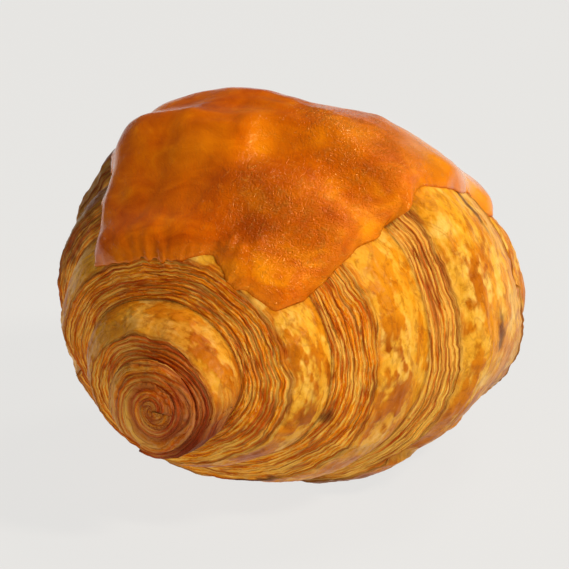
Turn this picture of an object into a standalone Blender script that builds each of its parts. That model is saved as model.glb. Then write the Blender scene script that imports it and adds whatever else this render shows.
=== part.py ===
"""Cheese croissant: a plump rolled pastry with one slice of cheese melted over its top.

The pastry is a strip of dough wound round the X axis. Its edge climbs in a spiral from the tip,
and each turn of the edge shows as a cut step in front of a smooth crescent of crust.
Run with: blender --background --python part.py
"""
import math
from collections import namedtuple

import bmesh
import bpy
from mathutils import Vector, noise
from mathutils.bvhtree import BVHTree

MM = 0.001

# One ring is the dough's cut edge after so many turns from the tip. Sizes in mm:
# x is its distance from the middle of the croissant; half_width and flatness (height over width)
# are its ellipse, centre_z is the height of the ellipse's centre, step is how far the edge stands
# out from the crust in front of it, and slant is how far the foot of the step leans to the tip.
Ring = namedtuple("Ring", "turn x half_width flatness centre_z step slant")

MIDDLE = Ring(6.75, 0.0, 44.4, 0.780, 32.7, 0.0, 0.0)
NEAR_RINGS = [
    Ring(1, 55.2, 3.0, 1.00, 28.2, 1.8, 0.6),
    Ring(2, 53.6, 6.2, 1.00, 27.2, 2.4, 0.8),
    Ring(3, 50.7, 11.0, 0.92, 26.4, 2.8, 1.2),
    Ring(4, 39.2, 22.1, 0.765, 29.0, 8.4, 2.7),
    Ring(5, 25.0, 34.2, 0.750, 29.8, 7.2, 5.2),
    Ring(6, 7.8, 42.3, 0.77, 30.7, 4.4, 3.6),
    Ring(6.4, 3.6, 43.7, 0.764, 30.8, 3.8, 2.4),
    MIDDLE,
]
FAR_RINGS = [
    Ring(1, 62.0, 2.8, 1.00, 23.6, 1.8, 0.6),
    Ring(2, 60.4, 5.2, 1.00, 23.6, 2.2, 0.8),
    Ring(3, 58.0, 8.0, 1.00, 23.8, 2.4, 1.2),
    Ring(4, 48.6, 16.6, 0.80, 25.8, 6.0, 2.7),
    Ring(5, 37.2, 26.8, 0.76, 26.4, 6.0, 4.6),
    Ring(6, 22.4, 37.4, 0.77, 28.1, 4.0, 3.4),
    Ring(6.4, 11.0, 42.2, 0.765, 29.6, 3.2, 2.4),
    MIDDLE,
]

NEAR_BEND = 10.1            # the near tip curves this far towards -Y
FAR_BEND = 3.6              # and the far one this far,
TIP_DROP = 10.0             # and the axis the unevenness grows from sinks by this much,
BEND_REACH = 65.0           # at this distance from the middle
AXIS_SHARE = 10.0           # the unevenness fades out within this radius of the axis
WALL_GROOVES = 0.35         # depth of the grooves between the layers on a cut step
GROOVED_STEP = 4.0          # height a step needs for its grooves to be that deep
CRUST_BULGE = 1.2           # how far a crescent of crust swells between two steps
BULGE_TURNS = 0.5           # turns before the middle over which that swelling dies out
LUMP_SIZE = 21.0            # spacing and height of the pastry's slow unevenness
LUMP_HEIGHT = 1.1
BLISTER_SIZE = 8.0          # spacing and height of the smaller blisters
BLISTER_HEIGHT = 0.45

STEPS_PER_TURN = 48         # mesh steps along the strip, a multiple of 4
WALL_STEPS = 4              # mesh steps up a cut step
CRUST_STEPS = 5             # mesh steps across a crescent of crust

# The slice of cheese is a square sheet laid over the top. Along the pastry it runs between two
# x positions, and round it between two angles, with 0 at the -Y side, 90 on top and 180 at +Y.
# Each edge is given at even steps along it, in mm or degrees.
CHEESE_NEAR_X = [-35.6, -36.3, -36.1, -33.8, -35.3, -35.7, -35.1, -34.8, -32.4]
CHEESE_FAR_X = [30.0, 36.0, 40.0, 40.0, 39.5, 40.0, 37.0]
CHEESE_LOW_ANGLE = [30.0, 28.0, 32.0, 34.8, 34.0, 37.0, 40.0, 37.5, 35.0, 33.5, 32.5, 23.5, 21.5]
CHEESE_HIGH_ANGLE = [156.0, 153.0, 146.0, 142.0, 137.0, 139.0, 145.0, 142.0, 147.0]
CHEESE_THICKNESS = 2.0
CHEESE_EDGE_THICKNESS = 0.9
CHEESE_EDGE_ROUND = 4.0     # width of the thinning along the edges
CHEESE_GAP = 0.4            # clearance over the crust
CHEESE_STEPS = 28           # mesh steps along each side of the slice
CHEESE_SMOOTHINGS = 3       # times the draped sheet is smoothed before it is thickened
SPAN_REACH = 2.8            # how far the soft slice bridges the hollows beside a step,
EDGE_SPAN_REACH = 0.9       # how far it does so along its edges,
SPAN_SHARE = 0.6            # and how much of their depth it bridges
PROBE_REACH = 100.0         # distance from the axis at which the crust is probed from


def clear_scene():
    for obj in list(bpy.data.objects):
        bpy.data.objects.remove(obj, do_unlink=True)


def make_material(name, colour, roughness):
    material = bpy.data.materials.new(name)
    material.use_nodes = True
    shader = material.node_tree.nodes["Principled BSDF"]
    shader.inputs["Base Color"].default_value = (*colour, 1.0)
    shader.inputs["Roughness"].default_value = roughness
    return material


def smooth_between(places, values, at):
    """Cubic curve through the values, with slopes taken from the neighbours."""
    last = len(places) - 1
    at = min(max(at, places[0]), places[last])
    i = max(k for k in range(last) if places[k] <= at)
    def slope(k):
        low, high = max(k - 1, 0), min(k + 1, last)
        return (values[high] - values[low]) / (places[high] - places[low])
    width = places[i + 1] - places[i]
    t = (at - places[i]) / width
    rise = values[i + 1] - values[i]
    bend = t * (1 - t) * width * (slope(i) * (1 - t) - slope(i + 1) * t)
    skew = t * (1 - t) * (2 * t - 1) * rise
    return values[i] + rise * t + bend + skew


def ring_at(turn, side):
    """The ring after this many turns, on the near half (side -1) or the far half (side 1)."""
    rings = NEAR_RINGS if side < 0 else FAR_RINGS
    turns = [ring.turn for ring in rings]
    sizes = [smooth_between(turns, [ring[k] for ring in rings], turn) for k in range(1, 7)]
    return Ring(turn, *sizes)


def foot_at(turn, side):
    """The bottom of the cut step, inside and in front of the ring."""
    if turn >= MIDDLE.turn:
        return MIDDLE._replace(turn=turn)
    ring = ring_at(turn, side)
    return ring._replace(x=ring.x + ring.slant, half_width=ring.half_width - ring.step)


def blend(first, second, share):
    return Ring(*[a + (b - a) * share for a, b in zip(first, second)])


def strip_point(turn, wall, crust, side):
    """A point of the dough strip: wall runs from foot to rim, then crust from rim to next foot."""
    rim = ring_at(turn, side)
    if crust == 0.0:
        ring = blend(foot_at(turn, side), rim, wall)
        groove = WALL_GROOVES * math.sin(math.pi * WALL_STEPS * (wall + 0.5 / WALL_STEPS))
        depth = groove * min(1.0, rim.step / GROOVED_STEP) * (0.0 < wall < 1.0)
        ring = ring._replace(x=ring.x - depth)
    else:
        ring = blend(rim, foot_at(turn + 1, side), crust)
        fade = min(1.0, (MIDDLE.turn - turn) / BULGE_TURNS)
        swell = CRUST_BULGE * math.sin(math.pi * crust) * fade
        ring = ring._replace(half_width=ring.half_width + swell)
    angle = 2 * math.pi * turn
    return Vector((
        side * ring.x,
        -ring.half_width * math.cos(angle),
        ring.centre_z + ring.half_width * ring.flatness * math.sin(angle),
    ))


def bend_at(x):
    """How far the pastry's axis is curved towards -Y at this x."""
    return (NEAR_BEND if x < 0 else FAR_BEND) * (x / BEND_REACH) ** 2


def baked(point):
    """The point with the tips curved, the surface made uneven and the underside pressed flat."""
    axis_z = MIDDLE.centre_z - TIP_DROP * (point.x / BEND_REACH) ** 2
    reach = Vector((0.0, point.y, point.z - axis_z))
    out = reach / max(reach.length, AXIS_SHARE)
    lift = LUMP_HEIGHT * noise.noise(point / LUMP_SIZE)
    lift += BLISTER_HEIGHT * noise.noise(point / BLISTER_SIZE)
    point = point + out * lift
    point.y -= bend_at(point.x)
    point.z = max(point.z, 0.0)
    return point


def add_half(bm, side):
    """Winds one half's strip of dough, as a grid mapped onto the spiral, and closes its tip."""
    turns = MIDDLE.turn - NEAR_RINGS[0].turn
    along = round(turns * STEPS_PER_TURN)
    across = WALL_STEPS + CRUST_STEPS
    strip = bmesh.ops.create_grid(bm, x_segments=along, y_segments=across, size=1.0)["verts"]
    for vert in strip:
        turn = NEAR_RINGS[0].turn + turns * (vert.co.x + 1) / 2
        row = round(across * (vert.co.y + 1) / 2)
        wall = min(row / WALL_STEPS, 1.0)
        crust = max(row - WALL_STEPS, 0) / CRUST_STEPS
        vert.co = strip_point(turn, wall, crust, side)


def close_tips(bm):
    """Caps the small spiral hole left at the start of each strip."""
    rims = [edge for edge in bm.edges if edge.is_boundary]
    caps = bmesh.ops.holes_fill(bm, edges=rims, sides=0)["faces"]
    bmesh.ops.poke(bm, faces=caps)


def finish_mesh(bm, name, material, collection):
    bmesh.ops.recalc_face_normals(bm, faces=bm.faces)
    mesh = bpy.data.meshes.new(name)
    bm.to_mesh(mesh)
    bm.free()
    mesh.materials.append(material)
    obj = bpy.data.objects.new(name, mesh)
    collection.objects.link(obj)
    return obj


def add_croissant(collection):
    bm = bmesh.new()
    add_half(bm, -1)
    add_half(bm, 1)
    bmesh.ops.remove_doubles(bm, verts=bm.verts, dist=0.002)
    bmesh.ops.dissolve_degenerate(bm, edges=bm.edges, dist=0.001)
    close_tips(bm)
    for vert in bm.verts:
        vert.co = baked(vert.co)
    bmesh.ops.triangulate(bm, faces=bm.faces)
    crust = make_material("crust", (0.66, 0.31, 0.05), 0.5)
    return finish_mesh(bm, "croissant", crust, collection)


def surface_radius(tree, x, angle):
    """How far the crust reaches from the axis at this x, in this direction round it."""
    axis = Vector((x, -bend_at(x), MIDDLE.centre_z))
    out = Vector((0.0, -math.cos(angle), math.sin(angle)))
    hit = tree.ray_cast(axis + out * PROBE_REACH, -out)[0]
    return axis, out, (hit - axis).length


def draped_radius(tree, x, angle, reach):
    """The crust's reach with its hollows bridged, as a soft slice lying on it does."""
    middle = surface_radius(tree, x, angle)[2]
    around = []
    for k in range(8):
        turn = math.pi * k / 4
        shift = reach * math.cos(turn)
        swing = reach * math.sin(turn) / middle
        around.append(surface_radius(tree, x + shift, angle + swing)[2])
    bridged = middle + (max(around) - middle) * SPAN_SHARE
    return max(middle, bridged, sum(around) / len(around))


def edge_value(values, share):
    return smooth_between([k / (len(values) - 1) for k in range(len(values))], values, share)


def slice_place(along, round_share):
    """The x and angle of a point of the slice, blended between its four edges."""
    near = edge_value(CHEESE_NEAR_X, round_share)
    far = edge_value(CHEESE_FAR_X, round_share)
    low = edge_value(CHEESE_LOW_ANGLE, along)
    high = edge_value(CHEESE_HIGH_ANGLE, along)
    return near + (far - near) * along, math.radians(low + (high - low) * round_share)


def slice_fullness(along, round_share):
    """0 on the slice's edges, rising to 1 a little way in."""
    side = 2 * abs(CHEESE_NEAR_X[0])
    edge = side * min(along, 1 - along, round_share, 1 - round_share)
    inward = min(edge / CHEESE_EDGE_ROUND, 1.0)
    return math.sqrt(1 - (1 - inward) ** 2)


def lift_clear(tree, vert):
    """Moves the vertex away from the axis until it clears the crust, and returns that direction."""
    height = vert.co.z - MIDDLE.centre_z
    angle = math.atan2(height, -vert.co.y - bend_at(vert.co.x))
    axis, out, crust = surface_radius(tree, vert.co.x, angle)
    vert.co = axis + out * max((vert.co - axis).length, crust + CHEESE_GAP)
    return out


def drape(bm, tree):
    """Lays the flat grid over the crust and returns how far each vertex is to grow outwards."""
    thickness = []
    for vert in bm.verts:
        along, round_share = (vert.co.x + 1) / 2, (vert.co.y + 1) / 2
        x, angle = slice_place(along, round_share)
        axis, out, _ = surface_radius(tree, x, angle)
        full = slice_fullness(along, round_share)
        span = EDGE_SPAN_REACH + (SPAN_REACH - EDGE_SPAN_REACH) * full
        vert.co = axis + out * (draped_radius(tree, x, angle, span) + CHEESE_GAP)
        thickness.append(CHEESE_EDGE_THICKNESS + (CHEESE_THICKNESS - CHEESE_EDGE_THICKNESS) * full)
    inside = [vert for vert in bm.verts if not vert.is_boundary]
    for _ in range(CHEESE_SMOOTHINGS):
        bmesh.ops.smooth_vert(
            bm, verts=inside, factor=0.5, use_axis_x=True, use_axis_y=True, use_axis_z=True,
        )
    growth = {}
    for vert, thick in zip(bm.verts, thickness):
        out = lift_clear(tree, vert)
        growth[vert.co.to_tuple()] = out * thick
    return growth


def add_cheese(croissant, collection):
    """Drapes a square sheet over the crust and thickens it outwards."""
    source = bmesh.new()
    source.from_mesh(croissant.data)
    tree = BVHTree.FromBMesh(source)
    source.free()
    bm = bmesh.new()
    bmesh.ops.create_grid(bm, x_segments=CHEESE_STEPS, y_segments=CHEESE_STEPS, size=1.0)
    growth = drape(bm, tree)
    copy = bmesh.ops.extrude_face_region(bm, geom=bm.faces[:], use_keep_orig=True)
    for part in copy["geom"]:
        if isinstance(part, bmesh.types.BMVert):
            part.co += growth[part.co.to_tuple()]
    bmesh.ops.triangulate(bm, faces=bm.faces)
    cheese = make_material("cheese", (0.66, 0.16, 0.004), 0.35)
    return finish_mesh(bm, "melted_cheese", cheese, collection)


def settle(objects):
    """Turns the millimetres into metres, with the origin at the middle of the footprint."""
    points = [vert.co for obj in objects for vert in obj.data.vertices]
    centre = Vector((
        (min(p.x for p in points) + max(p.x for p in points)) / 2,
        (min(p.y for p in points) + max(p.y for p in points)) / 2,
        0.0,
    ))
    for obj in objects:
        for vert in obj.data.vertices:
            vert.co = (vert.co - centre) * MM


def build():
    clear_scene()
    collection = bpy.data.collections.new("cheese_croissant")
    bpy.context.scene.collection.children.link(collection)
    croissant = add_croissant(collection)
    cheese = add_cheese(croissant, collection)
    settle([croissant, cheese])


build()
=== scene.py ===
import math

import bmesh
import bpy
import numpy as np
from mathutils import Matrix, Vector, noise
from mathutils.bvhtree import BVHTree


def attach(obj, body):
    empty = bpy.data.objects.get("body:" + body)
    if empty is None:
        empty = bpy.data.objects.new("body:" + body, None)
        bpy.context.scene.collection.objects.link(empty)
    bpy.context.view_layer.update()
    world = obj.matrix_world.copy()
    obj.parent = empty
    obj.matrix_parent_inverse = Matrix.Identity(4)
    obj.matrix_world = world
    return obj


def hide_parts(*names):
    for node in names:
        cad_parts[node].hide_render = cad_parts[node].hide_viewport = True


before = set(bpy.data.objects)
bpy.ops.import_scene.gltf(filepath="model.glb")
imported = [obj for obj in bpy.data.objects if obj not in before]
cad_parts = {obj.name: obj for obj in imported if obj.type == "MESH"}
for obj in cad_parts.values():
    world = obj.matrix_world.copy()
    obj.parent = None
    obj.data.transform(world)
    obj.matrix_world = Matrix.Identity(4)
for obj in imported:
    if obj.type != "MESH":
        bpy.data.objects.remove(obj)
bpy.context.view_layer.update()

mm = 0.001   # one millimetre in metres


def smoothBetween(places, values, at):
    # cubic curve through the values, with slopes taken from the neighbours
    places, values = np.asarray(places, float), np.asarray(values, float)
    at = np.clip(at, places[0], places[-1])
    low = np.maximum(np.arange(len(places)) - 1, 0)
    high = np.minimum(np.arange(len(places)) + 1, len(places) - 1)
    slopes = (values[high] - values[low]) / (places[high] - places[low])
    i = np.clip(np.searchsorted(places, at, side="right") - 1, 0, len(places) - 2)
    width = places[i + 1] - places[i]
    t = (at - places[i]) / width
    rise = values[i + 1] - values[i]
    curve = t * (1 - t) * width * (slopes[i] * (1 - t) - slopes[i + 1] * t)
    return values[i] + rise * t + curve + t * (1 - t) * (2 * t - 1) * rise


def smoothStep(low, high, value):
    t = np.clip((value - low) / (high - low), 0.0, 1.0)
    return t * t * (3 - 2 * t)


def softNoise(points, size, shift=0.0):
    # one smooth noise value, about -1 to 1, for each point
    flat = points.reshape(-1, 3) / size + shift
    return np.array([noise.noise(p) for p in flat.tolist()]).reshape(points.shape[:-1])


def hill(away, width):
    # 1 at the middle, falling off over the width
    return np.exp(-(away / width) ** 2)


def gridFilter(values, reach, pick):
    # largest or mean value within reach cells, along both directions
    for axis in (0, 1):
        padded = np.pad(values, [(reach, reach) if k == axis else (0, 0) for k in (0, 1)], "edge")
        size = values.shape[axis]
        windows = [np.take(padded, np.arange(s, s + size), axis=axis) for s in range(2 * reach + 1)]
        values = pick(np.stack(windows), axis=0)
    return values


def gridNormals(points, side):
    along, over = np.gradient(points, axis=0), np.gradient(points, axis=1)
    normal = np.cross(along, over) * -side
    return normal / np.maximum(np.linalg.norm(normal, axis=-1, keepdims=True), 1e-9)


def joinGrids(name, grids, facings):
    # makes one mesh object from several grids of points, with the masks as attributes
    vertices, faces, masks = [], [], {}
    offset = 0
    for (points, values), facing in zip(grids, facings):
        rows, columns = points.shape[:2]
        vertices.append(points.reshape(-1, 3))
        for key, value in values.items():
            width = 3 if value.ndim > 2 else 1
            shape = (rows, columns, 3)[:2 + (width > 1)]
            masks.setdefault((key, width), []).append(np.broadcast_to(value, shape).ravel())
        corner = np.arange(rows * columns).reshape(rows, columns) + offset
        quad = [corner[:-1, :-1], corner[1:, :-1], corner[1:, 1:], corner[:-1, 1:]]
        if facing > 0:
            quad = quad[::-1]
        faces.append(np.stack(quad, -1).reshape(-1, 4))
        offset += rows * columns
    vertices = (np.concatenate(vertices) - np.array([*croissant["origin"], 0.0])) * mm
    mesh = bpy.data.meshes.new(name)
    mesh.from_pydata(vertices.tolist(), [], np.concatenate(faces).tolist())
    for (key, width), value in masks.items():
        attribute = mesh.attributes.new(key, "FLOAT_VECTOR" if width > 1 else "FLOAT", "POINT")
        values = np.concatenate(value).astype(np.float32)
        attribute.data.foreach_set("vector" if width > 1 else "value", values)
    mesh.validate()
    mesh.shade_smooth()
    obj = bpy.data.objects.new(name, mesh)
    bpy.context.scene.collection.objects.link(obj)
    return obj


def welded(obj):
    # joins the grids where they meet
    bm = bmesh.new()
    bm.from_mesh(obj.data)
    bmesh.ops.remove_doubles(bm, verts=bm.verts, dist=0.02 * mm)
    bmesh.ops.recalc_face_normals(bm, faces=bm.faces)
    bm.to_mesh(obj.data)
    bm.free()
    obj.data.shade_smooth()
    return obj


def addNode(tree, kind, **values):
    # a new node with its settings and unlinked inputs given by name
    node = tree.nodes.new(kind)
    for key, value in values.items():
        if hasattr(node, key):
            setattr(node, key, value)
        else:
            node.inputs[key.replace("_", " ")].default_value = value
    return node


def newMaterial(name):
    material = bpy.data.materials.new(name)
    material.use_nodes = True
    return material, material.node_tree, material.node_tree.nodes["Principled BSDF"]


def colourRamp(tree, factor, stops):
    ramp = tree.nodes.new("ShaderNodeValToRGB")
    while len(ramp.color_ramp.elements) < len(stops):
        ramp.color_ramp.elements.new(0.5)
    for element, (place, colour) in zip(ramp.color_ramp.elements, stops):
        element.position = place
        element.color = (*colour, 1.0)
    tree.links.new(factor, ramp.inputs[0])
    return ramp.outputs["Color"]


def greys(*stops):
    # grey stops for a ramp that is used as a mask
    return [(place, (value, value, value)) for place, value in stops]


def mixColours(tree, factor, first, second, blend="MIX"):
    mix = tree.nodes.new("ShaderNodeMix")
    mix.data_type = "RGBA"
    mix.blend_type = blend
    for socket, value in ((mix.inputs[0], factor), (mix.inputs[6], first), (mix.inputs[7], second)):
        if isinstance(value, bpy.types.NodeSocket):
            tree.links.new(value, socket)
        else:
            socket.default_value = (*value, 1.0) if isinstance(value, tuple) else value
    return mix.outputs[2]


def tinted(tree, colour, tint):
    return mixColours(tree, 1.0, colour, tint, "MULTIPLY")


def combine(tree, operation, first, second, clamp=False):
    node = tree.nodes.new("ShaderNodeMath")
    node.operation = operation
    node.use_clamp = clamp
    for socket, value in zip(node.inputs, (first, second)):
        if isinstance(value, bpy.types.NodeSocket):
            tree.links.new(value, socket)
        else:
            socket.default_value = value
    return node.outputs[0]


def plus(tree, first, second, clamp=False):
    return combine(tree, "ADD", first, second, clamp)


def minus(tree, first, second, clamp=False):
    return combine(tree, "SUBTRACT", first, second, clamp)


def times(tree, first, second, clamp=False):
    return combine(tree, "MULTIPLY", first, second, clamp)


def maskOf(tree, name):
    # a mask that the mesh carries
    node = tree.nodes.new("ShaderNodeAttribute")
    node.attribute_name = name
    return node.outputs["Fac"]


def noiseOf(tree, scale, detail, stretch, distortion, roughness=0.5, along=None):
    # a noise in the object's own space, or in the space of the named attribute
    if along:
        place = addNode(tree, "ShaderNodeAttribute", attribute_name=along).outputs["Vector"]
    else:
        place = tree.nodes.new("ShaderNodeTexCoord").outputs["Object"]
    mapping = addNode(tree, "ShaderNodeMapping", Scale=stretch)
    tree.links.new(place, mapping.inputs["Vector"])
    texture = addNode(tree, "ShaderNodeTexNoise", Scale=scale, Detail=detail,
                      Distortion=distortion, Roughness=roughness)
    tree.links.new(mapping.outputs["Vector"], texture.inputs["Vector"])
    return texture.outputs["Fac"]


def lineMask(tree, width, pattern):
    # 1 along thin wandering lines, 0 between them
    away = combine(tree, "ABSOLUTE", minus(tree, noiseOf(tree, *pattern), 0.5), 0.0)
    return minus(tree, 1.0, combine(tree, "DIVIDE", away, width), True)


def makeGrainGroup():
    # fine grain for a bump and a slow blotch for colour, both 0 to 1
    group = bpy.data.node_groups.new("foodGrain", "ShaderNodeTree")
    for name, value in (("Grain Scale", 900.0), ("Blotch Scale", 60.0)):
        socket = group.interface.new_socket(name, in_out="INPUT", socket_type="NodeSocketFloat")
        socket.default_value = value
    group.interface.new_socket("Grain", in_out="OUTPUT", socket_type="NodeSocketFloat")
    group.interface.new_socket("Blotch", in_out="OUTPUT", socket_type="NodeSocketFloat")
    inside = group.nodes.new("NodeGroupInput")
    outside = group.nodes.new("NodeGroupOutput")
    place = group.nodes.new("ShaderNodeTexCoord")
    for name, detail in (("Grain", 4.0), ("Blotch", 3.0)):
        texture = addNode(group, "ShaderNodeTexNoise", Detail=detail, Distortion=0.4)
        group.links.new(place.outputs["Object"], texture.inputs["Vector"])
        group.links.new(inside.outputs[name + " Scale"], texture.inputs["Scale"])
        group.links.new(texture.outputs["Fac"], outside.inputs[name])
    return group


def grainIn(tree, group, finish):
    node = tree.nodes.new("ShaderNodeGroup")
    node.node_tree = group
    node.inputs["Grain Scale"].default_value = finish["grainScale"]
    node.inputs["Blotch Scale"].default_value = finish["blotchScale"]
    return node.outputs["Grain"], node.outputs["Blotch"]


def setFinish(shader, finish):
    shader.inputs["Specular IOR Level"].default_value = finish["specular"]
    shader.inputs["Specular Tint"].default_value = (*finish["specularTint"], 1.0)
    shader.inputs["Subsurface Weight"].default_value = finish["subsurface"]
    shader.inputs["Subsurface Radius"].default_value = finish["subsurfaceRadius"]
    shader.inputs["Subsurface Scale"].default_value = 1.0


def setBump(tree, shader, height, finish):
    strength, distance = finish["bump"]
    bump = addNode(tree, "ShaderNodeBump", Strength=strength, Distance=distance)
    tree.links.new(height, bump.inputs["Height"])
    tree.links.new(bump.outputs["Normal"], shader.inputs["Normal"])


# The pastry: a strip of dough rolled up from each tip to the middle. Lengths are in mm.
croissant = {
    # turns from the tip, distance from the middle, half width, height over width,
    # height of the centre, height of the cut step, lean of the step's foot to the tip
    "nearRings": [
        (1.0, 55.2, 3.0, 1.00, 28.2, 1.8, 0.6),
        (2.0, 53.6, 6.2, 1.00, 27.2, 2.4, 0.8),
        (3.0, 50.7, 11.0, 0.92, 26.4, 2.8, 1.2),
        (4.0, 39.2, 22.1, 0.765, 29.0, 8.4, 2.7),
        (5.0, 25.0, 34.2, 0.750, 29.8, 7.2, 5.2),
        (6.0, 7.8, 42.3, 0.77, 30.7, 4.4, 3.6),
        (6.4, 3.6, 43.7, 0.764, 30.8, 3.8, 2.4),
        (6.75, 0.0, 44.4, 0.780, 32.7, 0.0, 0.0),
    ],
    "farRings": [
        (1.0, 62.0, 2.8, 1.00, 23.6, 1.8, 0.6),
        (2.0, 60.4, 5.2, 1.00, 23.6, 2.2, 0.8),
        (3.0, 58.0, 8.0, 1.00, 23.8, 2.4, 1.2),
        (4.0, 48.6, 16.6, 0.80, 25.8, 6.0, 2.7),
        (5.0, 37.2, 26.8, 0.76, 26.4, 6.0, 4.6),
        (6.0, 22.4, 37.4, 0.77, 28.1, 4.0, 3.4),
        (6.4, 11.0, 42.2, 0.765, 29.6, 3.2, 2.4),
        (6.75, 0.0, 44.4, 0.780, 32.7, 0.0, 0.0),
    ],
    "stepsPerTurn": 256,
    "quickStepsPerTurn": 128,
    "bends": (10.1, 3.6),        # how far the near and far tips curve at bendReach
    "tipDrop": 10.0,             # how far the middle line sinks at bendReach
    "bendReach": 65.0,
    "axisShare": 10.0,           # nearer the middle line than this, lumps grow smaller
    "bulge": 1.2,                # how far the crust swells between two steps
    "lumps": (21.0, 1.1),        # spacing and height of the slow unevenness
    "blisters": (8.0, 0.45),
    "origin": (3.400, -0.252),   # where the frame's origin lies in these measures
    "rimWander": 0.5,            # how ragged the edge of each step is
    "layerSpacing": 0.80,        # between two layers of dough on a cut step
    "layerGap": 0.16,            # depth of the gap between two layers
    "layerOffset": 0.32,         # how far some layers stand out past others
    "layerRidge": 0.10,
    "fibre": 0.10,
    "flakeHeight": 0.13,         # relief of the smooth crust
    "wrinkle": 0.16,
    "pit": 0.08,
    "lip": 0.30,                 # raised edge where the crust meets the cut step
    # lifted flakes: half, turn of the torn end, turns over which it sinks back,
    # place across, reach across, height
    "ledges": [
        (-1, 5.870, 0.08, 1.25, 0.35, 2.2),
        (1, 5.872, 0.10, 1.42, 0.27, 3.3),
        (-1, 4.565, -0.05, 1.00, 0.22, 1.4),
        (-1, 2.680, -0.08, 1.05, 0.45, 1.6),
        (-1, 5.020, 0.04, 1.10, 0.12, 0.8),
        (1, 6.030, 0.03, 1.02, 0.12, 1.6),
        (-1, 4.180, 0.05, 1.04, 0.08, 0.7),
    ],
    # darker spots: half, turn, place across, turns long, reach across, how dark
    "darkAndShadedSpots": [
        (1, 6.11, 1.50, 0.030, 0.07, 1.0),
        (-1, 2.675, 1.05, 0.035, 0.50, 1.0),
        (1, 6.00, 1.85, 0.020, 0.08, 1.0),
        (-1, 4.80, 1.00, 0.030, 0.15, 1.0),
        # painted shade in a dark hole of the step
        (-1, 4.945, 0.12, 0.014, 0.16, 0.9),
        # these two: painted shade on the shaded upper left of the near half
        (-1, 6.42, 1.10, 0.110, 1.10, 0.80),
        (-1, 5.43, 1.30, 0.090, 1.10, 0.70),
        (-1, 3.97, 1.45, 0.030, 0.20, 0.35),
    ],
    "roughness": 0.26,
    "wallRoughness": 0.16,       # added on the cut steps
    "grainRoughness": 0.22,      # added by the grain
    "grainScale": 1300.0,
    "blotchScale": 75.0,
    "bump": (0.8, 0.0003),       # strength and distance
    "specular": 0.10,
    "specularTint": (1.0, 0.86, 0.62),
    "subsurface": 0.06,
    "subsurfaceRadius": (0.0025, 0.0012, 0.0005),
    "layerColours": [            # cut layers, from their shade to their light
        (0.14, (0.58, 0.112, 0.0004)),
        (0.29, (0.86, 0.226, 0.0010)),
        (0.46, (0.98, 0.370, 0.006)),
        (0.64, (1.00, 0.580, 0.085)),
    ],
    "bakeColours": [             # deeper bake of the smooth crust
        (0.30, (0.36, 0.078, 0.002)),
        (0.45, (0.58, 0.170, 0.003)),
        (0.60, (0.70, 0.255, 0.007)),
        (0.75, (0.78, 0.330, 0.018)),
    ],
    "flakeColours": [            # pale flakes over it
        (0.30, (0.70, 0.280, 0.010)),
        (0.50, (0.80, 0.390, 0.034)),
        (0.70, (0.90, 0.540, 0.120)),
    ],
    "mottleTints": [
        (0.34, (0.70, 0.60, 0.40)),
        (0.48, (1.00, 1.02, 0.90)),
        (0.66, (1.10, 1.20, 1.50)),
    ],
    "colours": {
        "fleck": (1.00, 0.62, 0.16),
        # reddish lines and gaps between the cut layers: painted shade in their grooves
        "fineGrooveShade": (0.46, 0.070, 0.0005),
        "boldGrooveShade": (0.36, 0.030, 0.0003),
        "layerGap": (0.66, 0.072, 0.0003),
        "scuff": (0.40, 0.125, 0.012),
        # painted shade in the tuck between the whorl and the first crust
        "hookShade": (0.15, 0.014, 0.002),
        # browned edge of the crust skin, partly painted shade along the rim of each step
        "rimBrownAndShade": (0.24, 0.062, 0.008),
        # painted shade in the crease at the foot of each step
        "creviceShade": (0.16, 0.04, 0.005),
        # browned underside, partly painted shade where the pastry rests
        "soleBrownAndShade": (0.15, 0.038, 0.003),
        # darker spots, some of them painted shade
        "darkSpotAndShade": (0.10, 0.020, 0.004),
    },
    # how strongly each lies over the colour below
    "shares": {
        "fineGrooveShade": 0.45,
        "boldGrooveShade": 0.75,
        "layerGap": 0.66,
        "upperLayerShade": 0.50,
        "scuff": 0.40,
        "hookShade": 0.75,
        "rimBrownAndShade": 1.1,
        "creviceShade": 0.9,
        "soleBrownAndShade": 0.8,
        "darkSpotAndShade": 0.85,
    },
    "tints": {                   # multiplied over the colour below
        # painted shade, darker the higher the cut layers lie
        "upperLayerShade": (0.78, 0.62, 0.60),
        "firstCrust": (0.80, 0.66, 0.70),
        "lowerCrust": (0.94, 0.80, 0.95),
        # browned tips, with painted shade weighted to the whorl's lower right
        "tip": (0.50, 0.32, 0.45),
    },
    # noises: scale, detail, stretch, distortion, roughness and what they run along
    "patterns": {
        "strands": (1.0, 2.0, (0.16, 0.90, 1.0), 0.4, 0.5, "strip"),
        "fibres": (1.0, 3.0, (0.45, 2.2, 1.0), 0.6, 0.6, "strip"),
        "boldLines": (1.0, 1.5, (0.040, 0.42, 1.0), 0.3, 0.5, "strip"),
        "fineLines": (1.0, 2.0, (0.110, 1.30, 2.0), 0.4, 0.5, "strip"),
        "flecks": (1.0, 2.0, (0.70, 2.4, 1.0), 1.2, 0.6, "strip"),
        "paleFlakes": (190.0, 4.0, (1.4, 0.8, 0.8), 0.3, 0.6),
        "flakeEdges": (420.0, 3.0, (1.3, 0.8, 0.8), 0.5, 0.65),
        "mottle": (520.0, 4.0, (1.2, 0.8, 0.8), 0.4, 0.7),
        "scuffs": (130.0, 3.0, (1.5, 0.7, 0.7), 0.8),
    },
}

ringTurns = np.array([ring[0] for ring in croissant["nearRings"]])
ringSizes = {
    -1: np.array([ring[1:] for ring in croissant["nearRings"]]),
    1: np.array([ring[1:] for ring in croissant["farRings"]]),
}
lastTurn = ringTurns[-1]
middle = ringSizes[-1][-1]


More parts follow.
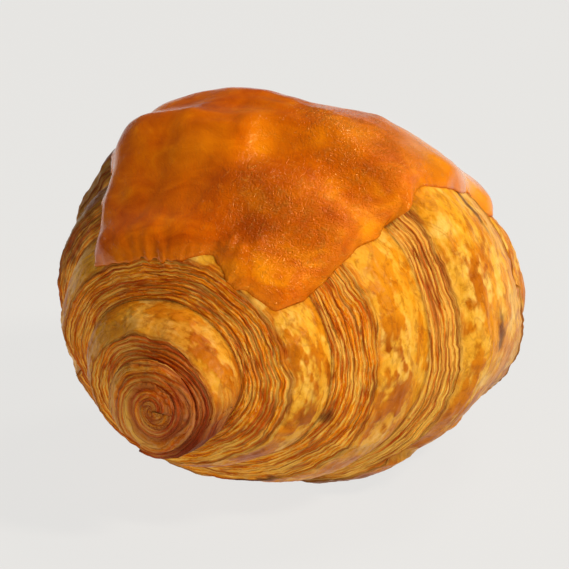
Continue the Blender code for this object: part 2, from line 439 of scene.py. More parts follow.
def ringAt(turn, side):
    # the six measures of the rolled strip at each turn, where side is -1 near or 1 far
    sizes = ringSizes[side]
    return np.stack([smoothBetween(ringTurns, sizes[:, k], turn) for k in range(6)], -1)


def footAt(turn, side):
    # the foot of the cut step, nearer the middle line and the tip than its rim
    ring = ringAt(turn, side)
    ring[..., 0] += ring[..., 5]
    ring[..., 1] -= ring[..., 4]
    past = turn >= lastTurn - 1e-9
    ring[past] = middle
    return ring


def bendAt(x):
    # how far the middle line has curved aside
    bend = np.where(x < 0, *croissant["bends"])
    return bend * (x / croissant["bendReach"]) ** 2


def runLength(turn):
    # mm along the strip of dough from its start
    turns = np.linspace(ringTurns[0], lastTurn, 600)
    widths = smoothBetween(ringTurns, ringSizes[-1][:, 1], turns)
    steps = np.concatenate([[0.0], np.diff(turns) * np.pi * (widths[1:] + widths[:-1])])
    return np.interp(turn, turns, np.cumsum(steps))


def bakedShape(points):
    # curves the tips and makes the surface uneven
    axisZ = middle[3] - croissant["tipDrop"] * (points[..., 0] / croissant["bendReach"]) ** 2
    reach = np.stack([np.zeros_like(axisZ), points[..., 1], points[..., 2] - axisZ], -1)
    length = np.maximum(np.linalg.norm(reach, axis=-1), croissant["axisShare"])
    lift = croissant["lumps"][1] * softNoise(points, croissant["lumps"][0])
    lift += croissant["blisters"][1] * softNoise(points, croissant["blisters"][0])
    points = points + reach / length[..., None] * lift[..., None]
    points[..., 1] -= bendAt(points[..., 0])
    return points


def stripSurface(turn, across, side):
    # across runs 0 to 1 up the cut step, then 1 to 2 over the crust to the next step's foot
    wall, crust = np.clip(across, 0, 1), np.clip(across - 1, 0, 1)
    rim, foot, nextFoot = ringAt(turn, side), footAt(turn, side), footAt(turn + 1, side)
    run = runLength(turn)
    ragged = np.minimum(1.0, rim[..., 4] / 4.0) * croissant["rimWander"]
    for k, size in ((0, 7.0), (1, 4.0)):
        place = np.stack([run / size, np.full_like(run, 11.0 * k + side), run * 0], -1)
        rim[..., k] += ragged * (softNoise(place, 1.0) + 0.5 * softNoise(place * 3.1, 1.0))
    ring = foot + (rim - foot) * wall[..., None]
    ring = np.where((across > 1)[..., None], rim + (nextFoot - rim) * crust[..., None], ring)
    swell = np.sin(np.pi * crust) * np.clip((lastTurn - turn) * 2, 0, 1)
    width = ring[..., 1] + croissant["bulge"] * swell
    angle = 2 * np.pi * turn
    x = side * ring[..., 0]
    y = -width * np.cos(angle)
    z = ring[..., 3] + width * ring[..., 2] * np.sin(angle)
    crustWidth = np.hypot(nextFoot[..., 0] - rim[..., 0], nextFoot[..., 1] - rim[..., 1])
    distance = wall * np.hypot(rim[..., 4], rim[..., 5]) + crust * crustWidth
    return bakedShape(np.stack([x, y, z], -1)), rim, run, distance


def cutLayers(points, turn, run, distance, side):
    # the thin layers of dough in a cut step: where each lies, how far it stands out, its
    # fibres and ridge, and where and how deeply it parts from the next
    wave = 1.3 * softNoise(points, 12.0, 3.1) + 0.30 * softNoise(points, 4.5, 8.7)
    spacing = croissant["layerSpacing"] * (1 + 0.20 * smoothStep(3.7, 3.2, turn))
    layer = distance / spacing + wave
    number, nearest = np.floor(layer), np.round(layer)
    shifted = np.full_like(run, 5.0 * side)
    whorl = smoothStep(3.6, 3.2, turn)
    stand = softNoise(np.stack([number * 7.31 + 2.0, run / 10.0 + number, shifted], -1), 1.0)
    bold = softNoise(np.stack([nearest * 3.77 + 50.0, run / 8.0, shifted], -1), 1.0)
    fibre = softNoise(np.stack([run / 2.6, layer * 1.7, shifted], -1), 1.0)
    ridge = np.sin(np.pi * (layer - number)) ** 0.8
    between = hill(layer - nearest, 0.17 + 0.10 * whorl)
    deep = smoothStep(-0.25, 0.50, bold + 0.5 * whorl)
    return np.stack([run, layer, shifted], -1), stand, fibre, ridge, between, deep


def flakeField(points, upper):
    # above 0 where a pale flake lies
    lengthwise = points * np.array([1.35, 0.85, 0.85])
    field = 0.8 * softNoise(lengthwise, 6.0, 21.0) + 0.6 * softNoise(lengthwise, 2.3, 4.0)
    field = field + 0.35 * softNoise(lengthwise, 0.9, 40.0)
    return field + 0.24 * upper - 0.15


def ledgeHeight(turn, across, side):
    # torn flakes of crust that stand proud at one end
    height = np.zeros_like(turn)
    for half, end, length, place, reach, rise in croissant["ledges"]:
        onward = (turn - end) / length
        lifted = smoothStep(1.0, 0.0, onward) * (onward >= 0) * smoothStep(2.0, 1.85, across)
        height = height + (side == half) * rise * lifted * hill(across - place, reach)
    return height


def darkAndShadedSpotMask(points, turn, across, side):
    darkSpotAndShade = np.zeros_like(turn)
    uneven = 0.5 * softNoise(points, 1.5, 55.0)
    for half, at, place, length, reach, dark in croissant["darkAndShadedSpots"]:
        away = np.hypot((turn - at) / length, (across - place) / reach) + uneven
        darkSpotAndShade = np.maximum(darkSpotAndShade, (side == half) * dark * smoothStep(1.2, 0.4, away))
    return darkSpotAndShade


def doughRelief(points, turn, across, rim, run, distance, side):
    # height of the relief and the masks that colour it
    wallWidth = np.hypot(rim[..., 4], rim[..., 5])
    share, crust = np.clip(across, 0, 1), np.clip(across - 1, 0, 1)
    onWall = across <= 1.0
    strip, stand, fibre, ridge, between, deep = cutLayers(points, turn, run, distance, side)
    wallEnds = smoothStep(0.0, 0.10, share) * smoothStep(1.0, 0.95, share)
    wallHeight = croissant["layerOffset"] * stand - croissant["layerGap"] * between * deep
    wallHeight = wallHeight + croissant["fibre"] * fibre + croissant["layerRidge"] * ridge
    wallHeight = wallHeight * wallEnds * np.minimum(1.0, wallWidth / 5.0)

    upper = smoothStep(6.0, 50.0, points[..., 2])
    flakes = flakeField(points, upper)
    wrinkles = softNoise(points * np.array([2.6, 0.45, 0.45]), 2.8, 13.0)
    pits = softNoise(points, 1.7, 6.0)
    fromRim = crust * 16.0
    lip = hill(fromRim, 0.8)
    inner = turn < lastTurn - 1   # the innermost crust has no step beyond it
    crustEnds = smoothStep(0.0, 0.03, crust) * np.where(inner, smoothStep(1.0, 0.92, crust), 1.0)
    crustHeight = croissant["flakeHeight"] * smoothStep(0.0, 0.05, flakes)
    crustHeight = crustHeight + croissant["wrinkle"] * wrinkles + croissant["pit"] * pits
    crustHeight = crustHeight * crustEnds + croissant["lip"] * lip * (wallWidth > 1.5)
    height = np.where(onWall, wallHeight, crustHeight) + ledgeHeight(turn, across, side)

    ragged = 1.2 + 1.0 * softNoise(points * np.array([1.0, 0.5, 0.5]), 2.0, 33.0)
    tip = np.where(onWall, smoothStep(3.62, 3.25, turn), smoothStep(3.08, 2.95, turn))
    lowerRightShade = 0.62 + 0.38 * np.cos(2 * np.pi * (turn - 0.98))   # painted shade, strongest at the whorl's lower right
    # lighter on the cut steps near the middle; the dip near turn 4.3 is painted shade at the top of
    # that step
    middleToneAndShade = smoothStep(5.5, 5.95, turn) - 0.45 * hill(turn - 4.3, 0.22)
    footOnWall = 1 - smoothStep(0.0, 0.10, share)
    nearFoot = np.where(onWall, footOnWall, smoothStep(0.92, 1.0, crust) * inner)
    patchy = 0.45 + 0.55 * smoothStep(-0.3, 0.4, softNoise(points, 6.0, 71.0))
    # tone of the cut layers: each layer's own tone that differs at random, the turn tone and
    # painted shade above, and a painted highlight along each layer's ridge
    tone = 0.20 + 0.75 * stand + 0.2 * fibre + 0.45 * middleToneAndShade + 0.55 * ridge
    masks = {
        "wall": np.where(onWall, 1.0, np.maximum(tip, hill(fromRim, np.maximum(ragged, 0.3)))),
        "layerToneAndLight": np.clip(tone, 0, 1),
        # where the layers part: the colour darkens there as painted shade
        "layerGap": np.sqrt(between) * (0.55 + 0.45 * deep) * np.where(onWall, 1.0, 0.4),
        "flake": np.clip(0.5 + flakes, 0, 1),
        # browned edge of the crust skin, partly painted shade along the rim
        "rimBrownAndShade": np.where(onWall, smoothStep(0.90, 1.0, share), lip),
        # painted shade in the crease at the foot of each step
        "creviceShade": nearFoot * (lastTurn - turn > 0.02),
        "tip": tip * lowerRightShade,
        "darkSpotAndShade": darkAndShadedSpotMask(points, turn, across, side),
        # darker near the floor: browned underside, partly painted shade where it rests
        "soleBrownAndShade": smoothStep(5.0, 1.0, points[..., 2]),
        # painted shade in the tuck between the whorl and the first crust
        "hookShade": hill(turn - 2.88, 0.11) * smoothStep(1.7, 1.2, across),
        "firstCrust": smoothStep(3.9, 3.6, turn) * patchy,
        "upper": upper,
        "strip": strip,
    }
    return height, masks


def acrossRows(wallRows, crustRows):
    wall = np.linspace(0, 1, wallRows + 1)
    crust = 1 + np.linspace(0, 1, crustRows + 1)[1:] ** 1.15
    return np.concatenate([wall, crust])


def doughStrip(turnFrom, turnTo, stepsPerTurn, wallRows, crustRows, side):
    turns = np.linspace(turnFrom, turnTo, round((turnTo - turnFrom) * stepsPerTurn) + 1)
    turn, across = np.meshgrid(turns, acrossRows(wallRows, crustRows), indexing="ij")
    points, rim, run, distance = stripSurface(turn, across, side)
    height, masks = doughRelief(points, turn, across, rim, run, distance, side)
    points = points + gridNormals(points, side) * height[..., None]
    points[..., 2] = np.maximum(points[..., 2], 0.0)   # flat where it rests
    return points, masks


def tipCap(stepsPerTurn, side):
    # closes the small spiral hole at the start of the strip
    turns = np.linspace(1.0, 2.0, stepsPerTurn + 1)
    share = np.linspace(0, 1, 9)
    foot = footAt(turns, side)
    hub = foot.mean(axis=0)
    hub[1] = 0.0
    ring = hub + (foot[:, None] - hub) * share[None, :, None]
    angle = 2 * np.pi * turns[:, None]
    x = side * ring[..., 0]
    y = -ring[..., 1] * np.cos(angle)
    z = ring[..., 3] + ring[..., 1] * ring[..., 2] * np.sin(angle)
    points = bakedShape(np.stack([x, y, z], -1))
    zero = np.zeros(points.shape[:-1])
    strip = np.broadcast_arrays(runLength(turns)[:, None], share[None] * 3.0 - 3.0, 5.0 * side)
    masks = {name: zero for name in ("flake", "rimBrownAndShade", "darkSpotAndShade", "soleBrownAndShade", "hookShade", "firstCrust")}
    masks.update({"wall": zero + 1, "layerToneAndLight": zero + 0.4, "layerGap": zero + 0.3})
    masks.update({"tip": zero + 0.6, "upper": zero + 0.3, "creviceShade": zero + 0.3 * share})
    masks["strip"] = np.stack(strip, -1)
    return points, masks


def startFace(strip):
    # closes the end of the dough strip in the middle of the whorl
    points, values = strip
    edge = points[0]
    share = np.linspace(0, 1, len(edge))[:, None]
    chord = edge[0] + (edge[-1] - edge[0]) * share
    masks = {key: np.stack([value[0], value[0]]) for key, value in values.items()}
    return np.stack([edge, chord]), masks


def makeCroissant():
    steps = croissant["stepsPerTurn"]
    near = [
        tipCap(steps, -1),
        doughStrip(1.0, 3.0, steps, 12, 12, -1),
        doughStrip(3.0, 5.75, steps, 56, 60, -1),
    ]
    near.append(startFace(near[1]))
    far = [
        doughStrip(5.75, 6.75, steps, 56, 60, -1),   # the near half's last turn, at the middle
        tipCap(steps, 1),
        doughStrip(1.0, 3.0, steps, 7, 7, 1),
        doughStrip(3.0, 6.75, steps, 24, 28, 1),
    ]
    far.append(startFace(far[2]))
    nearHalf = welded(joinGrids("croissant_near", near, [-1, -1, -1, -1]))
    farHalf = welded(joinGrids("croissant_far", far, [-1, 1, 1, 1, 1]))
    return nearHalf, farHalf


def layerColour(tree, strands, fibres, bold, fine, upper):
    # golden strands that run along the strip, with reddish lines between them: painted shade in the
    # grooves between the layers
    colours, shares = croissant["colours"], croissant["shares"]
    tone = plus(tree, times(tree, strands, 0.70), times(tree, fibres, 0.40))
    tone = plus(tree, tone, times(tree, maskOf(tree, "layerToneAndLight"), 0.40))
    layers = colourRamp(tree, minus(tree, tone, 0.24), croissant["layerColours"])
    fleckNoise = noiseOf(tree, *croissant["patterns"]["flecks"])
    fleckNoise = plus(tree, fleckNoise, times(tree, maskOf(tree, "tip"), 0.07))
    flecks = colourRamp(tree, fleckNoise, greys((0.54, 0.0), (0.67, 0.75)))
    gaps = maskOf(tree, "layerGap")
    layers = mixColours(tree, flecks, layers, colours["fleck"])
    for name, place in (("fineGrooveShade", fine), ("boldGrooveShade", bold), ("layerGap", gaps)):
        layers = mixColours(tree, times(tree, place, shares[name]), layers, colours[name])
    # painted shade over the higher layers
    shaded = tinted(tree, layers, croissant["tints"]["upperLayerShade"])
    return mixColours(tree, times(tree, upper, shares["upperLayerShade"]), layers, shaded)


def crustColour(tree, blotch, upper):
    # pale flakes over a deeper bake
    tints, patterns = croissant["tints"], croissant["patterns"]
    deep = colourRamp(tree, blotch, croissant["bakeColours"])
    pale = colourRamp(tree, noiseOf(tree, *patterns["paleFlakes"]), croissant["flakeColours"])
    ragged = times(tree, noiseOf(tree, *patterns["flakeEdges"]), 0.34)
    border = plus(tree, maskOf(tree, "flake"), minus(tree, ragged, 0.17))
    patches = greys((0.36, 0.0), (0.50, 0.35), (0.56, 0.65), (0.72, 0.90))
    crust = mixColours(tree, colourRamp(tree, border, patches), deep, pale)
    mottle = colourRamp(tree, noiseOf(tree, *patterns["mottle"]), croissant["mottleTints"])
    crust = tinted(tree, crust, mottle)
    scuffs = times(tree, lineMask(tree, 0.030, patterns["scuffs"]), croissant["shares"]["scuff"])
    crust = mixColours(tree, scuffs, crust, croissant["colours"]["scuff"])
    first = maskOf(tree, "firstCrust")
    crust = mixColours(tree, first, crust, tinted(tree, crust, tints["firstCrust"]))
    lower = minus(tree, 0.75, times(tree, upper, 1.6), True)
    return mixColours(tree, lower, crust, tinted(tree, crust, tints["lowerCrust"]))


def makeCrustMaterial(group):
    material, tree, shader = newMaterial("bakedCrust")
    patterns, shares = croissant["patterns"], croissant["shares"]
    grain, blotch = grainIn(tree, group, croissant)
    upper, wall = maskOf(tree, "upper"), maskOf(tree, "wall")
    strands = noiseOf(tree, *patterns["strands"])
    fibres = noiseOf(tree, *patterns["fibres"])
    bold = lineMask(tree, 0.055, patterns["boldLines"])
    fine = lineMask(tree, 0.040, patterns["fineLines"])
    layers = layerColour(tree, strands, fibres, bold, fine, upper)
    colour = mixColours(tree, wall, crustColour(tree, blotch, upper), layers)
    # browned tips, darker towards the whorl's lower right as painted shade
    browned = tinted(tree, colour, croissant["tints"]["tip"])
    colour = mixColours(tree, maskOf(tree, "tip"), colour, browned)
    for name in ("hookShade", "rimBrownAndShade", "creviceShade", "soleBrownAndShade", "darkSpotAndShade"):
        share = shares[name]
        if name in ("rimBrownAndShade", "creviceShade"):
            share = times(tree, strands, share)   # laid on unevenly, along the strands
        place = times(tree, maskOf(tree, name), share)
        colour = mixColours(tree, place, colour, croissant["colours"][name])
    tree.links.new(colour, shader.inputs["Base Color"])
    rough = plus(tree, times(tree, wall, croissant["wallRoughness"]), croissant["roughness"])
    rough = plus(tree, rough, times(tree, grain, croissant["grainRoughness"]))
    tree.links.new(rough, shader.inputs["Roughness"])
    grooves = plus(tree, times(tree, bold, 1.0), times(tree, fine, 0.5))
    relief = times(tree, minus(tree, times(tree, fibres, 1.2), grooves), wall)
    relief = plus(tree, relief, times(tree, grain, 0.6))
    setBump(tree, shader, relief, croissant)
    setFinish(shader, croissant)
    return material


# The slice of cheese, melted over the top. Lengths are in mm, and angles are in degrees round
# the pastry, from 0 at the -Y side over 90 at the top.
cheese = {
    # its four edges, at even steps from corner to corner
    "nearX": [-35.6, -36.3, -36.1, -33.8, -35.3, -35.7, -35.1, -34.8, -32.4],
    "farX": [31.0, 37.5, 41.5, 41.0, 40.0, 40.0, 37.0],
    "lowAngle": [30.0, 28.0, 32.0, 34.8, 34.0, 37.0, 40.0, 37.5, 35.0, 33.5, 32.5, 23.5, 21.5],
    "highAngle": [156.0, 153.0, 146.0, 142.0, 137.0, 139.0, 145.0, 142.0, 147.0],
    "size": 78.0,
    "radius": 38.0,              # from the pastry's middle line to the slice, for the noises
    "edgeRadius": 36.0,          # the same at its edges
    "steps": 214,
    "quickSteps": 110,
    "thickness": 2.0,
    "edgeThickness": 0.35,
    "edgeRound": 7.0,            # distance over which the edge thins
    "edgeBead": 0.40,            # extra thickness right at the edge
    "edgePress": 0.75,           # how far the edge sinks to the crust
    "gap": 0.3,                  # left under the slice
    "edgeWander": 0.5,
    "sag": 0.60,                 # height of the slow folds
    "wrinkle": 0.25,
    "streak": 0.42,
    "shiver": 0.12,              # small ripples in the glossy places
    # places on the slice: x, angle, radius, then height or strength
    "bubbles": [
        (-33.1, 70.5, 0.9, 2.4),
        (-32.4, 76.0, 0.7, 1.6),
        (-32.6, 65.0, 0.8, 1.7),
        (-30.5, 60.0, 0.8, 1.2),
        (-31.3, 72.0, 0.6, 1.2),
    ],
    "swells": [
        (9.0, 88.0, 8.0, -1.3),
        (11.0, 66.0, 5.0, 0.6),
        (-8.0, 92.0, 8.0, 0.7),
        (-3.0, 70.0, 5.0, 0.5),
    ],
    "glossy": [
        (-22.0, 50.0, 13.0, 1.0),
        (-2.0, 72.0, 4.5, 1.2),
        (-4.0, 52.0, 6.0, 1.0),
        (8.0, 62.0, 9.0, 0.9),
        (-20.0, 82.0, 3.0, 0.8),
    ],
    "scorched": [
        (-21.0, 76.0, 7.5, 1.0),
        (0.0, 86.0, 7.5, 0.8),
        (-29.0, 66.0, 4.5, 0.8),
        (-22.0, 118.0, 8.0, 0.5),
        (14.0, 78.0, 5.0, 0.5),
        (-25.0, 44.0, 9.0, 0.35),
        (-8.0, 112.0, 3.5, 0.6),
    ],
    # paler places: partly paler cheese, partly painted light where the right side is lit
    "palerAndLit": [
        (14.0, 60.0, 9.0, 1.1),
        (6.0, 43.0, 7.0, 1.2),
        (-4.0, 64.0, 5.0, 0.8),
        (-10.0, 88.0, 5.0, 0.5),
        (19.0, 34.0, 7.0, 1.4),
        (27.0, 25.0, 7.0, 1.4),
        (-16.0, 104.0, 5.0, 0.5),
    ],
    "streaks": [
        (-9.0, 100.0, 12.0, 1.0),
        (-13.0, 120.0, 9.0, 0.8),
        (-6.0, 78.0, 7.0, 0.7),
        (4.0, 64.0, 10.0, 0.6),
    ],
    "roughness": 0.06,
    "grainRoughness": 0.14,      # added by the grain
    "grainScale": 1500.0,
    "blotchScale": 105.0,
    "bump": (1.0, 0.0005),       # strength and distance
    "specular": 0.38,
    "specularTint": (1.0, 0.62, 0.20),
    "subsurface": 0.08,
    "subsurfaceRadius": (0.003, 0.0012, 0.0003),
    "oranges": [                 # from its deepest to its brightest
        (0.38, (0.42, 0.052, 0.0001)),
        (0.46, (0.60, 0.104, 0.0002)),
        (0.53, (0.73, 0.158, 0.0004)),
        (0.62, (0.95, 0.290, 0.0030)),
    ],
    "colours": {
        "scorched": (0.33, 0.046, 0.0002),
        "palerAndLit": (0.94, 0.37, 0.010),
        # partly paler cheese, partly painted light
        "edge": (0.72, 0.20, 0.008),
        # painted highlight: glints drawn into the colour
        "paintedGlint": (1.0, 0.48, 0.06),
    },
    # how strongly each lies over the colour below
    "shares": {
        "scorched": 0.90,
        "palerAndLit": 0.60,
        "edge": 0.35,
        "paintedGlint": 0.28,
    },
    # noises: scale, detail, stretch, distortion and roughness
    "patterns": {
        "slow": (42.0, 3.0, (1.0, 1.0, 1.0), 0.5),
        "cloudy": (190.0, 5.0, (1.0, 0.55, 1.2), 0.9, 0.62),
        "browning": (150.0, 4.0, (1.0, 0.6, 1.3), 0.8, 0.6),
        "squiggles": (1150.0, 2.0, (1.0, 1.0, 1.5), 1.6, 0.5),
        "paintedGlints": (900.0, 2.0, (0.8, 0.8, 1.6), 1.2),
        "sparse": (620.0, 4.0, (1.0, 1.0, 1.0), 0.0, 0.7),
    },
}


def crustReach(pieces, x, angle):
    # distance from the pastry's axis to its surface, for each x and angle round it
    rayStart = 90.0   # mm from the axis, clear of the pastry
    trees = []
    for piece in pieces:
        data = piece.data
        corners = [vertex.co / mm for vertex in data.vertices]
        trees.append(BVHTree.FromPolygons(corners, [tuple(p.vertices) for p in data.polygons]))
    reach = np.zeros(x.size)
    for k, (px, pa) in enumerate(zip(x.ravel().tolist(), angle.ravel().tolist())):
        axisY = -float(bendAt(px)) - croissant["origin"][1]
        axis = Vector((px - croissant["origin"][0], axisY, middle[3]))
        out = Vector((0.0, -math.cos(pa), math.sin(pa)))
        for tree in trees:
            hit = tree.ray_cast(axis + out * rayStart, -out)[0]
            if hit:
                reach[k] = max(reach[k], (hit - axis).length)
    return reach.reshape(x.shape)


def edgeCurve(name, at):
    values = cheese[name]
    return smoothBetween(np.linspace(0, 1, len(values)), values, at)


def sliceGrid(count):
    # x and angle of each point of the slice, its place for the noises and its way in from the edge
    share = np.linspace(0, 1, count + 1)
    along, around = np.meshgrid(share, share, indexing="ij")
    near, far = edgeCurve("nearX", around), edgeCurve("farX", around)
    low, high = edgeCurve("lowAngle", along), edgeCurve("highAngle", along)
    x = near + (far - near) * along
    angle = np.radians(low + (high - low) * around)
    spot = np.stack([x, angle * cheese["radius"], np.full_like(x, 40.0)], -1)
    inAlong, inAround = np.minimum(along, 1 - along), np.minimum(around, 1 - around)
    fromEdge = np.minimum(inAlong, inAround) * cheese["size"]
    rim = hill(fromEdge, 2.5)
    x = x + cheese["edgeWander"] * rim * softNoise(spot, 3.5, 2.0)
    wander = cheese["edgeWander"] / cheese["edgeRadius"]
    angle = angle + wander * rim * softNoise(spot, 3.5, 9.0)
    return x, angle, spot, fromEdge


def sliceZone(name, x, angle, reach):
    # how strongly each point of the slice belongs to the named places
    zone = np.zeros_like(x)
    for zoneX, zoneAngle, radius, strength in cheese[name]:
        away = np.hypot(x - zoneX, (angle - math.radians(zoneAngle)) * reach)
        zone = zone + strength * hill(away, radius)
    return zone


def sliceFolds(spot, x, zones):
    # mm that the top of the slice rises over its even thickness
    folds = cheese["sag"] * softNoise(spot, 10.0, 30.0) + 0.20 * softNoise(spot, 4.0, 17.0)
    wrinkled = smoothStep(0.15, 0.5, softNoise(spot, 16.0, 5.0) + 0.02 * (x - 5.0))
    wrinkles = softNoise(spot * np.array([0.35, 1.6, 1.0]), 3.4, 60.0)
    folds = folds + cheese["wrinkle"] * wrinkled * wrinkles
    folds = folds + zones["bubbles"] + zones["swells"]
    folds = folds + cheese["shiver"] * zones["glossy"] * softNoise(spot, 1.9, 44.0)
    streaky = softNoise(spot * np.array([1.0, 0.16, 1.0]), 1.5, 80.0)
    return folds + cheese["streak"] * zones["streaks"] * streaky


def makeCheese(pieces):
    count = cheese["steps"]
    x, angle, spot, fromEdge = sliceGrid(count)
    reach = crustReach(pieces, x, angle)
    names = ("bubbles", "swells", "glossy", "scorched", "palerAndLit", "streaks")
    zones = {name: sliceZone(name, x, angle, reach) for name in names}
    cell = cheese["size"] / count
    hug = hill(fromEdge, 1.6)   # 1 at the edge, which lies close on the crust

    draped = gridFilter(reach, max(1, round(1.2 / cell)), np.max)
    draped = gridFilter(draped, max(1, round(3.4 / cell)), np.mean)
    draped = gridFilter(draped, max(1, round(2.0 / cell)), np.mean)
    draped = draped * (1 - hug) + gridFilter(reach, 2, np.mean) * hug
    under = np.maximum(draped, reach + 0.1) + cheese["gap"] - cheese["edgePress"] * hug

    fullness = 1 - (1 - np.clip(fromEdge / cheese["edgeRound"], 0, 1)) ** 2
    thick = cheese["edgeThickness"] + (cheese["thickness"] - cheese["edgeThickness"]) * fullness
    thick = thick + cheese["edgeBead"] * hug
    folds = sliceFolds(spot, x, zones)
    upper = gridFilter(under, max(1, round(1.8 / cell)), np.mean) * (1 - hug) + under * hug
    top = np.maximum(upper + thick + folds * (1 - hug), under + 0.35)
    top = gridFilter(top, 2, np.mean) * (1 - hug) + top * hug

    masks = {"edge": hug, **{name: zones[name] for name in ("glossy", "scorched", "palerAndLit")}}
    grids = []
    for radius in (top, under):
        y = -radius * np.cos(angle) - bendAt(x)
        z = middle[3] + radius * np.sin(angle)
        grids.append((np.stack([x, y, z], -1), masks))
    # the thin side that joins the top to the underside
    rimPoints = []
    for points, _ in grids:
        ring = [points[:, 0], points[-1, 1:], points[-2::-1, -1], points[0, -2::-1]]
        rimPoints.append(np.concatenate(ring))
    none = np.zeros((1, 1))
    rimMasks = {"edge": none + 1.0, "glossy": none, "scorched": none, "palerAndLit": none}
    grids.append((np.stack(rimPoints, axis=1), rimMasks))
    return welded(joinGrids("cheese_slice", grids, [-1, 1, 1]))


def makeCheeseMaterial(group):
    material, tree, shader = newMaterial("meltedCheese")
    colours, shares, patterns = cheese["colours"], cheese["shares"], cheese["patterns"]
    grain, blotch = grainIn(tree, group, cheese)
    glossy = plus(tree, maskOf(tree, "glossy"), 0.12, True)
    slow = noiseOf(tree, *patterns["slow"])
    cloudy = noiseOf(tree, *patterns["cloudy"])
    tone = plus(tree, times(tree, slow, 0.45), times(tree, blotch, 0.20))
    colour = colourRamp(tree, plus(tree, tone, times(tree, cloudy, 0.35)), cheese["oranges"])
    # darker patches where it browned, paler ones that are partly painted light on the lit right
    # side, and a lighter edge
    patchy = times(tree, noiseOf(tree, *patterns["browning"]), 1.7)
    scorched = minus(tree, times(tree, maskOf(tree, "scorched"), patchy), 0.12, True)
    scorched = times(tree, scorched, shares["scorched"])
    colour = mixColours(tree, scorched, colour, colours["scorched"])
    palerAndLit = times(tree, maskOf(tree, "palerAndLit"), times(tree, slow, 1.5))
    colour = mixColours(tree, times(tree, palerAndLit, shares["palerAndLit"], True), colour, colours["palerAndLit"])
    edge = times(tree, maskOf(tree, "edge"), shares["edge"])
    colour = mixColours(tree, edge, colour, colours["edge"])
    # fine squiggles of fat that sparkle in the bump, with glints painted in as a highlight colour,
    # in some places only
    squiggles = noiseOf(tree, *patterns["squiggles"])
    paintedGlints = lineMask(tree, 0.060, patterns["paintedGlints"])
    sparseNoise = noiseOf(tree, *patterns["sparse"])
    sparse = colourRamp(tree, sparseNoise, greys((0.51, 0.0), (0.59, 1.0)))
    paintedGlints = times(tree, times(tree, paintedGlints, glossy), sparse)
    colour = mixColours(tree, times(tree, paintedGlints, shares["paintedGlint"], True), colour, colours["paintedGlint"])
    tree.links.new(colour, shader.inputs["Base Color"])
    rough = plus(tree, times(tree, grain, cheese["grainRoughness"]), cheese["roughness"])
    tree.links.new(rough, shader.inputs["Roughness"])
    relief = plus(tree, times(tree, squiggles, glossy), times(tree, paintedGlints, 0.3))
    setBump(tree, shader, relief, cheese)
    setFinish(shader, cheese)
    return material


view = {
    "aroundDegrees": 32.317,     # camera's swing from the pastry's length
    "aboveDegrees": 19.847,
    "distance": 1500.0,          # mm
    "pixelsPerMm": 5.488,
    "imagePixels": 569.0,
    "sensorWidth": 36.0,
    "aim": (0.0, 0.0, 32.0),
    "aimRight": 0.207,           # mm that the aim is shifted in the picture
    "aimUp": 1.152,
}


def awayFrom(heading, rise):
    # direction out from the pastry, from two angles in radians
    level = math.cos(rise)
    return Vector((math.cos(heading) * level, math.sin(heading) * level, math.sin(rise)))


def makeCamera():
    swing, rise = math.radians(view["aroundDegrees"]), math.radians(view["aboveDegrees"])
    back = awayFrom(math.pi + swing, rise)
    right = (-back).cross(Vector((0, 0, 1))).normalized()
    up = right.cross(-back)
    aim = Vector(view["aim"]) + right * view["aimRight"] + up * view["aimUp"]
    aim -= Vector((*croissant["origin"], 0.0))
    camera = bpy.data.objects.new("camera", bpy.data.cameras.new("camera"))
    camera.data.sensor_width = view["sensorWidth"]
    imageSize = view["imagePixels"] / view["pixelsPerMm"]   # mm seen at the pastry
    camera.data.lens = view["distance"] * view["sensorWidth"] / imageSize
    camera.data.clip_end = 10.0
    camera.location = (aim + back * view["distance"]) * mm
    camera.rotation_euler = back.to_track_quat("Z", "Y").to_euler()
    bpy.context.scene.collection.objects.link(camera)
    bpy.context.scene.camera = camera


studio = {
    # each lamp: swing to the camera's right, height above the horizon, distance m, size m, watts
    "lamps": {
        "key": (54.0, 42.0, 0.9, 0.16, 7.4),
        "fill": (-30.0, 14.0, 1.1, 0.9, 2.6),
        "top": (130.0, 56.0, 1.0, 0.4, 3.6),
    },
    "lampColour": (1.0, 0.93, 0.80),
    "lampAim": 0.03,             # height that the lamps point at, m
    "worldColour": (1.0, 0.84, 0.58),
    "worldStrength": 0.12,
    "floorHalf": 3.0,            # m
    "floorColour": (0.055, 0.055, 0.055),
    "floorGlow": 0.75,
    "glowColour": (1.0, 0.99, 0.970),
}


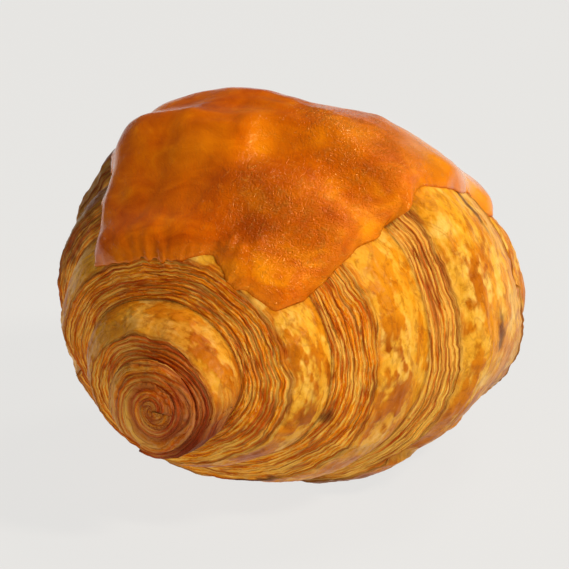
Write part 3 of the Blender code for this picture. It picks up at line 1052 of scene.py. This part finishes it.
def makeLights():
    for name, (swing, rise, distance, size, watts) in studio["lamps"].items():
        lamp = bpy.data.lights.new(name, "AREA")
        lamp.shape = "DISK"
        lamp.size = size
        lamp.energy = watts
        lamp.color = studio["lampColour"]
        heading = math.radians(-180.0 + view["aroundDegrees"] + swing)
        back = awayFrom(heading, math.radians(rise))
        obj = bpy.data.objects.new(name, lamp)
        obj.location = back * distance + Vector((0, 0, studio["lampAim"]))
        obj.rotation_euler = back.to_track_quat("Z", "Y").to_euler()
        bpy.context.scene.collection.objects.link(obj)
    world = bpy.data.worlds.new("studio")
    world.use_nodes = True
    background = world.node_tree.nodes["Background"]
    background.inputs["Color"].default_value = (*studio["worldColour"], 1.0)
    background.inputs["Strength"].default_value = studio["worldStrength"]
    bpy.context.scene.world = world


def makeFloor():
    half = studio["floorHalf"]
    corners = [(-half, -half, 0), (half, -half, 0), (half, half, 0), (-half, half, 0)]
    mesh = bpy.data.meshes.new("floor")
    mesh.from_pydata(corners, [], [(0, 1, 2, 3)])
    floor = bpy.data.objects.new("floor", mesh)
    floor.location.z = -0.0002   # just under the pastry's flat spot
    material, _, shader = newMaterial("paleFloor")
    shader.inputs["Base Color"].default_value = (*studio["floorColour"], 1.0)
    shader.inputs["Roughness"].default_value = 1.0
    shader.inputs["Specular IOR Level"].default_value = 0.0
    shader.inputs["Emission Color"].default_value = (*studio["glowColour"], 1.0)
    shader.inputs["Emission Strength"].default_value = studio["floorGlow"]
    mesh.materials.append(material)
    bpy.context.scene.collection.objects.link(floor)


makeCamera()
makeLights()
makeFloor()
print("camera, lights and floor are in place")
grainGroup = makeGrainGroup()
nearHalf, farHalf = makeCroissant()
crustMaterial = makeCrustMaterial(grainGroup)
print("croissant:", len(nearHalf.data.polygons), len(farHalf.data.polygons), "faces")
cheeseSlice = makeCheese([nearHalf, farHalf])
cheeseMaterial = makeCheeseMaterial(grainGroup)
print("cheese:", len(cheeseSlice.data.polygons), "faces")

for piece, material, node, slot in (
    (nearHalf, crustMaterial, "croissant", "crust"),
    (farHalf, crustMaterial, "croissant", "crust"),
    (cheeseSlice, cheeseMaterial, "melted_cheese", "cheese"),
):
    piece.data.materials.append(material)
    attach(piece, "root")
    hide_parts(node)

bpy.context.scene.view_settings.view_transform = "Standard"
